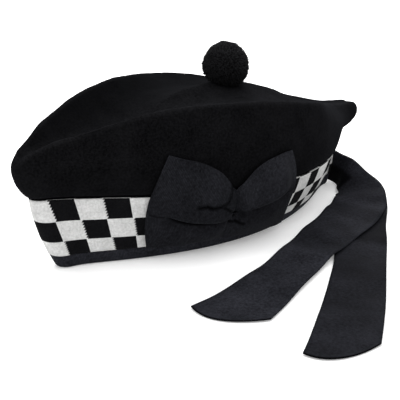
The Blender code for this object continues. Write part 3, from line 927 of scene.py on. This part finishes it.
def toorie_mesh(tufts, tuft_length):
    """The wool ball: a round head drawn out towards the rear left, uneven on two scales, with
    thousands of three-sided tufts of yarn standing on it. Their mark holds the height in the
    yarn, which sets painted shade at the roots and on the head between the tufts, and the tone
    of the tuft."""
    seat_along = (TOORIE_ALONG + RIDGE_FRONT_REACH) / RIDGE_LENGTH
    seat = CENTRE_HEIGHT * column("centre_height", np.array([seat_along]))[0]
    rise = seat + TOORIE_RADIUS * TOORIE_SEATING
    centre = np.array([0, TOORIE_ALONG - RIM_LENGTH / 2, rise])
    lean = unit(np.array(TOORIE_LEAN))

    def above_seat(points):
        """The points, raised where they would sink into the crown."""
        points[..., 2] = np.maximum(points[..., 2], seat_height(points) + TOORIE_GAP)
        return points

    def on_head(ways, sunk=0.0):
        """Points of the head in given directions from its centre."""
        egg = 1 + TOORIE_DRAWN * (ways @ lean) - TOORIE_FLATTENED * ways[..., 2]
        reach = TOORIE_RADIUS - tuft_length * TUFT_SUNK
        reach = reach * (egg + uneven(ways, BALL_WAVES)) - sunk
        return above_seat(centre + ways * reach[..., None])

    rise = np.linspace(0, math.pi, HEAD_ROWS)[:, None]
    turn = np.linspace(0, 2 * math.pi, HEAD_TURNS)
    ring = np.sin(rise)
    ways = [ring * np.cos(turn), ring * np.sin(turn), -np.cos(rise) + 0 * turn]
    head = on_head(np.stack(ways, axis=-1))
    count = head.size // 3

    chance = np.random.default_rng(TUFT_SEED)
    index = np.arange(tufts) + 0.5
    up = 1 - 2 * index / tufts
    turn = index * math.pi * (3 - math.sqrt(5))
    level = np.sqrt(1 - up**2)
    stand = unit(
        np.stack([level * np.cos(turn), level * np.sin(turn), up], axis=-1)
        + chance.normal(size=(tufts, 3)) * TUFT_SCATTER
    )
    side = unit(np.cross(stand, chance.normal(size=(tufts, 3))))
    other = np.cross(stand, side)
    wide = tuft_length * chance.uniform(*TUFT_WIDTHS, tufts)[:, None]
    angle = np.array([0, 2, 4]) * math.pi / 3
    base = on_head(stand, TUFT_ROOT)
    feet = base[:, None] + wide[:, None] * (
        side[:, None] * np.cos(angle)[:, None] + other[:, None] * np.sin(angle)[:, None]
    )
    swept = unit(stand + chance.normal(size=(tufts, 3)) * TUFT_SWEEP + lean * TUFT_LEAN)
    length = tuft_length * chance.uniform(*TUFT_LENGTHS, tufts)[:, None]
    tips = above_seat(base + swept * length)
    points = np.concatenate([feet, tips[:, None]], axis=1).reshape(-1, 3)
    first = np.arange(tufts)[:, None] * 4 + count
    sides = np.stack([first + (0, 1, 3), first + (1, 2, 3), first + (2, 0, 3)], axis=1)

    tone = np.repeat(chance.uniform(0, 1, tufts), 4)
    # Painted shade: the yarn is darker low in each tuft
    height = np.tile([ROOT_PAINTED_SHADE, ROOT_PAINTED_SHADE, ROOT_PAINTED_SHADE, 1.0], tufts)
    grown = np.stack([height, tone, 0 * tone], axis=-1)
    yarn = np.concatenate([np.full((count, 3), HEAD_PAINTED_SHADE), grown])
    points = np.concatenate([head.reshape(-1, 3), points])
    faces = quads(*head.shape[:2]).tolist() + sides.reshape(-1, 3).tolist()
    return mesh_of("toorie_yarn", points, faces, {"yarn": yarn}, MERGE_DISTANCE / 4)


def loop_end(height, front):
    """Where a loop's outer edge lies along the wall, at a share of the loop's height."""
    top = np.maximum(0.0, 2 * height - 1)
    foot = np.maximum(0.0, 1 - 2 * height)
    if front:
        return BOW_FRONT_END + FRONT_EDGE_LEAN * height**2
    return BOW_REAR_END + REAR_EDGE_FOOT * foot**2 - REAR_EDGE_LEAN * top**2


def from_line(line, along, height):
    """Distance in metres of points on the wall from a line: the least over its pieces of
    the distance to the nearest point of each."""
    scale = (RIDGE_LENGTH, BAND_TOP_HEIGHT)
    here = np.stack([along, height], axis=-1) * scale
    corners = np.array(line) * scale
    run = np.diff(corners, axis=0)
    offset = here[..., None, :] - corners[:-1]
    share = np.clip((offset * run).sum(axis=-1) / (run**2).sum(axis=-1), 0, 1)
    return np.linalg.norm(offset - share[..., None] * run, axis=-1).min(axis=-1)


def groove(distance, crease):
    """How deep a crease is at a distance from its line, by a bell."""
    return crease.depth * bell(distance, crease.width)


def bow_loop(name, table, front, wall):
    """One loop of ribbon. Its front layer climbs from the bottom edge, goes in behind the upper
    lobe and comes out over it, by the table of the fold, which opens out before the outer end.
    It is drawn in at the middle of the bow, wrinkled from there, turns round at the outer end
    in half a circle and comes back along the wall. The front loop laps over the rear one. The
    mark holds the run, the painted light and shade of each lobe, and the distance from the
    painted shade lines under the pleat, in the fold's mouth and along the creases."""
    side = -1 if front else 1
    climb = np.linspace(0, 1, LOOP_ROWS)[:, None]
    out = CROWDING * stations(LOOP_STATIONS - 1)
    out = out + (1 - CROWDING) * np.linspace(0, 1, LOOP_STATIONS)
    top, pleat, bottom, fullness = (
        column(part, out, table) for part in ("top", "pleat", "bottom", "fullness")
    )
    opened = ramp(out, *OPENING)
    level = column("level", climb, FOLD) * (1 - opened) + 2 * climb * opened
    folded = column("depth", climb, FOLD) * (1 - opened)
    folded = folded + (OPEN_EDGE + OPEN_SWELL * np.sin(math.pi * climb)) * opened
    upper = level > 1
    height = np.where(
        upper, pleat + (top - pleat) * (level - 1), bottom + (pleat - bottom) * level
    )
    share = np.clip((height - bottom) / (top - bottom), 0, 1)
    middle = BOW_MIDDLE + side * BOW_SEAM
    lap = LAP_ABOVE * ramp(level, *LAP_LEVELS) + LAP_BELOW if front else LAP_UNDER
    inner_end = middle - side * lap
    along = inner_end + (loop_end(share, front) - inner_end) * out

    kept = straight("kept", level, GATHER)
    drawn = 1 - (1 - kept) * bell(out, GATHER_REACH)
    depth = BOW_LOOP_EDGE * (1 + drawn) / 2 + BOW_DEPTH * fullness * folded * drawn
    bearing = np.arctan2((level - 1) * FAN_SPREAD, out + FAN_START[0])
    fan = np.sin(bearing * FAN_RAYS + (FRONT_FAN if front else REAR_FAN))
    fan = fan * bell(out, FAN_REACH) * ramp(out, *FAN_START)
    depth = depth + FAN_HEIGHT * fan * ramp(2 - level, 0, FAN_MARGIN)
    place = np.stack([along * WAVE_SCALE[0], height * WAVE_SCALE[1], 0 * height], axis=-1)
    waves = uneven(place, FRONT_LOOP_WAVES if front else REAR_LOOP_WAVES)
    depth = depth + waves * ramp(fullness, *WAVY_FULLNESS)
    # Painted shade: the distance from dark lines under the pleat and just inside the fold's
    # mouth
    painted_shade_distance = (pleat - height) * BAND_TOP_HEIGHT - PLEAT_SHADE_DROP * fullness + OPEN_LIGHT * opened
    painted_shade_distance = np.where(
        climb > FOLD_MOUTH, (climb - FOLD_MOUTH) * BAND_TOP_HEIGHT, np.maximum(painted_shade_distance, 0)
    )
    if front:
        curl = from_line(CURL, along, height)
        above = height > straight("height", along, CURL)
        start, end = CURL_SPAN
        inside = ramp(along, *start) * (1 - ramp(along, *end)) * upper
        roll = np.where(above, ramp(curl, 0, CURL_RISE) * np.exp(-curl / CURL_FALL), 0)
        sunk = np.where(above, 0, groove(curl, CURL_GROOVE))
        depth = depth + inside * (CURL_HEIGHT * roll - sunk)
        short = from_line(SHORT_CREASE, along, height)
        depth = depth - groove(short, SHORT_GROOVE) * upper
        # Painted shade along the curl and the short crease
        line = np.minimum(curl * CURL_LIGHT, short + SHORT_LIGHT)
        painted_shade_distance = np.minimum(painted_shade_distance, np.where(upper, line, 1))
    below = level < LAP_LEVELS[0]
    pucker = from_line(PUCKER, along, height)
    # Painted shade along the pucker and the wrinkle
    line = np.minimum(pucker, from_line(WRINKLE, along, height) + WRINKLE_LIGHT)
    depth = depth - groove(pucker, PUCKER_GROOVE) * below
    painted_shade_distance = np.minimum(painted_shade_distance, np.where(below, line, 1))
    least = BOW_STANDOFF + BACK_GAP
    if front:
        least = least + LAP_DEPTH * (1 - ramp(out, *LAP_RUN))
    depth = np.maximum(depth, least)

    back_height = bottom + (top - BACK_DROP - bottom) * climb
    back_along = middle + (loop_end(climb + 0 * out, front) - middle) * out
    front_layer = wall.at(along, height, depth)
    back_layer = wall.at(back_along, back_height, BOW_STANDOFF + 0 * back_along)

    bend = np.linspace(0, math.pi, TURN_STATIONS)[1:-1]
    near = (1 + np.cos(bend)) / 2
    half = (depth[:, -1:] - BOW_STANDOFF) / 2
    turn_along = (
        along[:, -1:] * near + back_along[:, -1:] * (1 - near)
        + side * half / RIDGE_LENGTH * np.sin(bend)
    )
    turn_height = height[:, -1:] * near + back_height[:, -1:] * (1 - near)
    turn = wall.at(turn_along, turn_height, BOW_STANDOFF + 2 * half * near)
    rows = np.concatenate([front_layer, turn, back_layer[:, ::-1]], axis=1)
    plain = np.ones(turn.shape[:2])
    open_back = np.ones(back_along.shape)
    lit = np.concatenate([painted_shade_distance, plain, open_back], axis=1)
    # Painted light on the rear loop's upper lobe, painted shade on the lower lobes
    lobe_painted_light = np.where(upper, 1 if front else REAR_LOBE_PAINTED_LIGHT, LOWER_LOBE_PAINTED_SHADE)
    tone = soften(lobe_painted_light + 0 * depth, TONE_EASING)
    tone = np.concatenate([tone, tone[:, -1:] * plain, open_back], axis=1)
    if front:
        rows, lit, tone = rows[:, ::-1], lit[:, ::-1], tone[:, ::-1]
    run = lengths(rows, 1)
    weave = np.stack([run, tone, lit], axis=-1)
    size = (float(np.median(lengths(rows, 0)[-1])), float(np.median(run[:, -1])))
    return cloth(name, rows, {"weave": weave}), size


def tail_bends(part, run, table, length):
    """One value along the stem and then along one tail."""
    on_stem = column(part, np.clip(run / STEM_LENGTH, 0, 1), STEM)
    on_tail = column(part, np.clip((run - STEM_LENGTH) / length, 0, 1), table)
    return np.where(run < STEM_LENGTH, on_stem, on_tail)


def tail_route(table, length):
    """Middle line of a tail, which adds up its headings, and the vectors along it, across
    it and off its face."""
    on_stem = np.linspace(0, STEM_LENGTH, STEM_STATIONS)
    on_tail = np.linspace(STEM_LENGTH, STEM_LENGTH + length, TAIL_STATIONS)
    run = np.concatenate([on_stem, on_tail[1:]])
    heading = np.radians(tail_bends("heading", run, table, length))
    roll = np.radians(tail_bends("roll", run, table, length))
    width = RIBBON_WIDTH * tail_bends("width", run, table, length)
    along = np.stack([np.cos(heading), np.sin(heading), 0 * heading], axis=-1)
    level = np.stack([-np.sin(heading), np.cos(heading), 0 * heading], axis=-1)
    across = level * np.cos(roll)[:, None]
    across[:, 2] = np.sin(roll)
    steps = (along[:-1] + along[1:]) / 2 * np.diff(run)[:, None]
    route = np.concatenate([np.zeros((1, 3)), np.cumsum(steps, axis=0)])
    route[:, 2] = GROSGRAIN / 2 + FLOOR_GAP + width * np.sin(np.abs(roll)) / 2
    stern_share = route[0, 2] / band_edge(np.array([1.0]))[0, 2]
    stern = lower_wall(stations(30), np.array([stern_share]))[-1]
    layer = GROSGRAIN + LAYER_GAP
    standing = (GROSGRAIN / 2 + CLEARANCE + layer) / math.sin(roll[0])
    route[:, 1] += stern[1] + STEM_GAP + standing
    twist = np.gradient(roll, run) * width / 2
    face = np.cross(along, across) * (layer * np.hypot(1, twist))[:, None]
    return run, route, along, across * width[:, None], face


def lift(run, waves):
    """Height of the soft bends along a tail: a bell for each."""
    return sum(wave.height * bell(run - wave.run, wave.reach) for wave in waves)


def tail_mesh(name, parts, raised, light, slant):
    """A ribbon along its route, cut to a slanting round end. Its bends and its bands of painted
    light and shade cross it a little askew, its lower half has painted shade where it stands on
    edge, and its long edges rise slightly."""
    run, route, along, across = parts
    share = np.linspace(-0.5, 0.5, TAIL_ROWS)[:, None]
    near_end = np.clip(1 - (run[-1] - run) / (END_RUN * RIBBON_WIDTH), 0, 1)
    reach = near_end * (TAIL_END_ROUNDING * (1 - 4 * share**2) - slant * share)
    rows = route + across * share[..., None] + along * reach[..., None]
    free = ramp(run, LYING[0] * STEM_LENGTH, LYING[1] * STEM_LENGTH)
    rows[..., 2] += lift(run + share * RIBBON_WIDTH * BEND_SKEW, raised) * free
    raised_edge = EDGE_RISE * (2 * share) ** 4
    rows[..., 2] += free * (raised_edge + TAIL_WAVES[0].height + uneven(rows, TAIL_WAVES))
    # Painted light and shade along the tail, and painted shade on its lower half where it
    # stands on edge
    tone = straight("tone", run - share * RIBBON_WIDTH * LIGHT_SKEW, light)
    hollow = (1 - ramp(run, *HOLLOW_END)) * (1 - ramp(share, *HOLLOW_TOP))
    cut = (run[-1] - run) * CUT_SPREAD + 0 * share
    weave = np.stack([run + reach, tone * (1 - HOLLOW_SHADE * hollow), cut], axis=-1)
    return cloth(name, rows, {"weave": weave})


# ---------------------------------------------------------------- settings


def size_setting(name, description, default):
    """A setting in metres."""
    return bpy.props.FloatProperty(
        name=name, description=description, default=default, unit="LENGTH", precision=4
    )


def colour_setting(name, description, default):
    """A setting that holds a colour."""
    return bpy.props.FloatVectorProperty(
        name=name, description=description, default=default, subtype="COLOR", size=3,
        min=0, max=1,
    )


def light_setting(name, description, default, unit="NONE"):
    """A setting for a strength of light."""
    return bpy.props.FloatProperty(
        name=name, description=description, default=default, min=0, unit=unit
    )


class BonnetSizes(bpy.types.PropertyGroup):
    """Sizes that a maker may change."""

    ridge_passes: bpy.props.IntProperty(
        name="Ridge rounding", description="How often the ridge is eased",
        default=2, min=0, max=30,
    )
    blunting: size_setting("Point blunting", "How far both points are pushed in", 0.002)
    # Half width of the painted highlight along the ridge
    ridge_highlight_width: size_setting("Ridge highlight width", "Half width of the ridge's paler line", 0.0022)
    ribbon_thickness: size_setting("Ribbon thickness", "Thickness of the grosgrain", 0.0008)
    tufts: bpy.props.IntProperty(
        name="Tufts", description="Tufts of yarn on the ball", default=5200, min=100, max=9000
    )
    tuft_length: size_setting("Tuft length", "How far a tuft of yarn stands up", 0.0024)


class BonnetColours(bpy.types.PropertyGroup):
    """Colours of the cloths."""

    wool: colour_setting("Wool", "Felted wool of the crown", (0.0036, 0.0036, 0.0040))
    white: colour_setting("White squares", "White knit of the band", (0.53, 0.53, 0.525))
    black: colour_setting("Black squares", "Black knit of the band", (0.0042, 0.0042, 0.0047))
    ribbon: colour_setting("Bow ribbon", "Grosgrain of the bow", (0.0096, 0.0099, 0.0119))
    # Painted light: the bow's ribbon made lighter, for the light the tails catch lying face up
    # and the binding takes from the floor
    ribbon_painted_lighter: colour_setting(
        "Tails and binding", "Grosgrain of the tails and the binding", (0.0150, 0.0155, 0.0192)
    )
    yarn: colour_setting("Wool ball", "Cut yarn of the ball", (0.0078, 0.0078, 0.0084))


class BonnetStage(bpy.types.PropertyGroup):
    """Floor and light."""

    floor: colour_setting("Floor", "Pale floor", (0.90, 0.90, 0.90))
    surround: light_setting("Surround", "Brightness of the white room", 1.0)
    table_glow: light_setting("Table glow", "Light that the table gives from below", 0.2)
    overhead: light_setting("Overhead light", "Power of the soft light above", 14.0, "POWER")
    behind: light_setting("Back light", "Power of the soft light behind", 26.0, "POWER")


# ---------------------------------------------------------------- operators


class BONNET_OT_crown(bpy.types.Operator):
    """Makes the felted wool body"""

    bl_idname = "bonnet.crown"
    bl_label = "Crown"

    def execute(self, context):
        sizes = context.scene.bonnet_sizes
        wool = felted_wool(context.scene.bonnet_colours.wool)
        mesh = crown_mesh(sizes.ridge_passes, sizes.blunting, sizes.ridge_highlight_width)
        dress("crown_wool", mesh, wool, "crown", FELT, clamp=FELT_CLAMP)
        return {"FINISHED"}


class BONNET_OT_band(bpy.types.Operator):
    """Makes the diced knitted band"""

    bl_idname = "bonnet.band"
    bl_label = "Diced band"

    def execute(self, context):
        colours = context.scene.bonnet_colours
        mesh, half_round = band_mesh()
        knit = diced_knit(colours.white, colours.black)
        band = dress("diced_band_knit", mesh, knit, "diced_band", KNIT)
        return {"FINISHED"}


class BONNET_OT_binding(bpy.types.Operator):
    """Makes the ribbon that binds the lower edge"""

    bl_idname = "bonnet.binding"
    bl_label = "Edge binding"

    def execute(self, context):
        mesh, half_round, width = binding_mesh()
        ribbon = ribbed_ribbon("binding_grosgrain", context.scene.bonnet_colours.ribbon_painted_lighter)
        piece = dress("binding_ribbon", mesh, ribbon, "edge_binding", GROSGRAIN)
        return {"FINISHED"}


class BONNET_OT_toorie(bpy.types.Operator):
    """Makes the wool ball"""

    bl_idname = "bonnet.toorie"
    bl_label = "Wool ball"

    def execute(self, context):
        sizes = context.scene.bonnet_sizes
        yarn = cut_yarn(context.scene.bonnet_colours.yarn)
        mesh = toorie_mesh(sizes.tufts, sizes.tuft_length)
        dress("toorie_yarn", mesh, yarn, "toorie")
        return {"FINISHED"}


class BONNET_OT_bow(bpy.types.Operator):
    """Makes both loops of the bow"""

    bl_idname = "bonnet.bow"
    bl_label = "Bow"

    def execute(self, context):
        ribbon = ribbed_ribbon("bow_grosgrain", context.scene.bonnet_colours.ribbon)
        thickness = context.scene.bonnet_sizes.ribbon_thickness
        wall = Wall()
        for name, table, front in (("front", FRONT_LOOP, True), ("rear", REAR_LOOP, False)):
            mesh, size = bow_loop("bow_%s_ribbon" % name, table, front, wall)
            node = "bow_%s_loop" % name
            piece = dress(mesh.name, mesh, ribbon, node, thickness)
        return {"FINISHED"}


class BONNET_OT_tails(bpy.types.Operator):
    """Makes both ribbon tails"""

    bl_idname = "bonnet.tails"
    bl_label = "Tails"

    def execute(self, context):
        ribbon = ribbed_ribbon("tail_grosgrain", context.scene.bonnet_colours.ribbon_painted_lighter)
        thickness = context.scene.bonnet_sizes.ribbon_thickness
        run, far, along, across, _ = tail_route(FAR_TAIL, FAR_TAIL_LENGTH)
        mesh = tail_mesh(
            "far_tail_ribbon", (run, far, along, across), SHARED_WAVES + FAR_WAVES,
            FAR_LIGHT, FAR_TAIL_SLANT,
        )
        piece = dress(mesh.name, mesh, ribbon, "far_tail", thickness, 0.0)

        run, near, along, across, face = tail_route(NEAR_TAIL, NEAR_TAIL_LENGTH)
        apart = np.linalg.norm(near[:, None, :2] - far[None, :, :2], axis=-1).min(axis=1)
        on_top = (TAILS_APART - apart / RIBBON_WIDTH) / (TAILS_APART - TAILS_OVERLAP)
        on_top = np.clip(on_top, 0, 1)
        near = near + face * on_top[:, None]
        mesh = tail_mesh(
            "near_tail_ribbon", (run, near, along, across), SHARED_WAVES + NEAR_WAVES,
            NEAR_LIGHT, NEAR_TAIL_SLANT,
        )
        piece = dress(mesh.name, mesh, ribbon, "near_tail", thickness, 0.0)
        return {"FINISHED"}


class BONNET_OT_stage(bpy.types.Operator):
    """Makes the floor, the light and the camera"""

    bl_idname = "bonnet.stage"
    bl_label = "Stage"

    def execute(self, context):
        settings = context.scene.bonnet_stage
        corners = np.array([(-1, -1, 0), (1, -1, 0), (1, 1, 0), (-1, 1, 0)]) * FLOOR_REACH
        corners[:, 2] = -FLOOR_DROP
        mesh = mesh_of("floor", corners, [(0, 1, 2, 3)], {})
        floor = bpy.data.objects.new("floor", mesh)
        context.scene.collection.objects.link(floor)
        paper = Finish("pale_floor", {
            "Roughness": 0.9, "Specular IOR Level": 0.1,
            "Emission Color": (1.0, 1.0, 1.0, 1.0), "Emission Strength": settings.table_glow,
        })
        tone = paper.span(paper.grain(40.0, 2.0), 0.3, 0.7)
        colour = paper.blend(tone, shade(settings.floor, 0.995), shade(settings.floor, 1.0))
        mesh.materials.append(
            paper.done(colour, paper.relief(paper.grain(900.0), 0.00005, 0.1))
        )

        world = bpy.data.worlds.new("white_room")
        world.use_nodes = True
        sky = world.node_tree.nodes["Background"]
        sky.inputs["Color"].default_value = (1.0, 1.0, 1.0, 1.0)
        sky.inputs["Strength"].default_value = settings.surround
        context.scene.world = world

        for name, place, size in LAMPS:
            lamp = bpy.data.lights.new(name, "AREA")
            lamp.shape = "SQUARE"
            lamp.size = size
            lamp.energy = getattr(settings, name)
            hung = bpy.data.objects.new(name, lamp)
            hung.location = place
            hung.rotation_euler = (-hung.location).to_track_quat("-Z", "Y").to_euler()
            context.scene.collection.objects.link(hung)

        camera = bpy.data.cameras.new("camera")
        camera.lens = CAMERA_LENS
        camera.sensor_width = CAMERA_FRAME
        eye = bpy.data.objects.new("camera", camera)
        eye.location = CAMERA_PLACE
        eye.rotation_euler = Vector(CAMERA_AIM).to_track_quat("-Z", "Y").to_euler()
        context.scene.collection.objects.link(eye)
        context.scene.camera = eye
        context.scene.view_settings.view_transform = "Standard"
        return {"FINISHED"}


class BONNET_PT_panel(bpy.types.Panel):
    """Lists the steps that make the bonnet"""

    bl_idname = "BONNET_PT_panel"
    bl_label = "Bonnet"
    bl_space_type = "VIEW_3D"
    bl_region_type = "UI"
    bl_category = "Bonnet"

    def draw(self, context):
        for name in SETTINGS:
            group = getattr(context.scene, name)
            box = self.layout.box()
            for key in group.__annotations__:
                box.prop(group, key)
        for step in STEPS:
            self.layout.operator(step.bl_idname)


SETTINGS = {
    "bonnet_sizes": BonnetSizes, "bonnet_colours": BonnetColours, "bonnet_stage": BonnetStage,
}
STEPS = (
    BONNET_OT_stage, BONNET_OT_crown, BONNET_OT_band, BONNET_OT_binding,
    BONNET_OT_toorie, BONNET_OT_bow, BONNET_OT_tails,
)


def register():
    """Registers the settings, the steps and the panel."""
    for kind in (*SETTINGS.values(), *STEPS, BONNET_PT_panel):
        bpy.utils.register_class(kind)
    for name, kind in SETTINGS.items():
        setattr(bpy.types.Scene, name, bpy.props.PointerProperty(type=kind))


def unregister():
    """Takes them out again."""
    for name in SETTINGS:
        delattr(bpy.types.Scene, name)
    for kind in (BONNET_PT_panel, *STEPS, *SETTINGS.values()):
        bpy.utils.unregister_class(kind)


def main():
    """Makes everything in order."""
    register()
    bpy.ops.bonnet.stage()
    bpy.ops.bonnet.crown()
    bpy.ops.bonnet.band()
    bpy.ops.bonnet.binding()
    bpy.ops.bonnet.toorie()
    bpy.ops.bonnet.bow()
    bpy.ops.bonnet.tails()


if __name__ == "__main__":
    main()
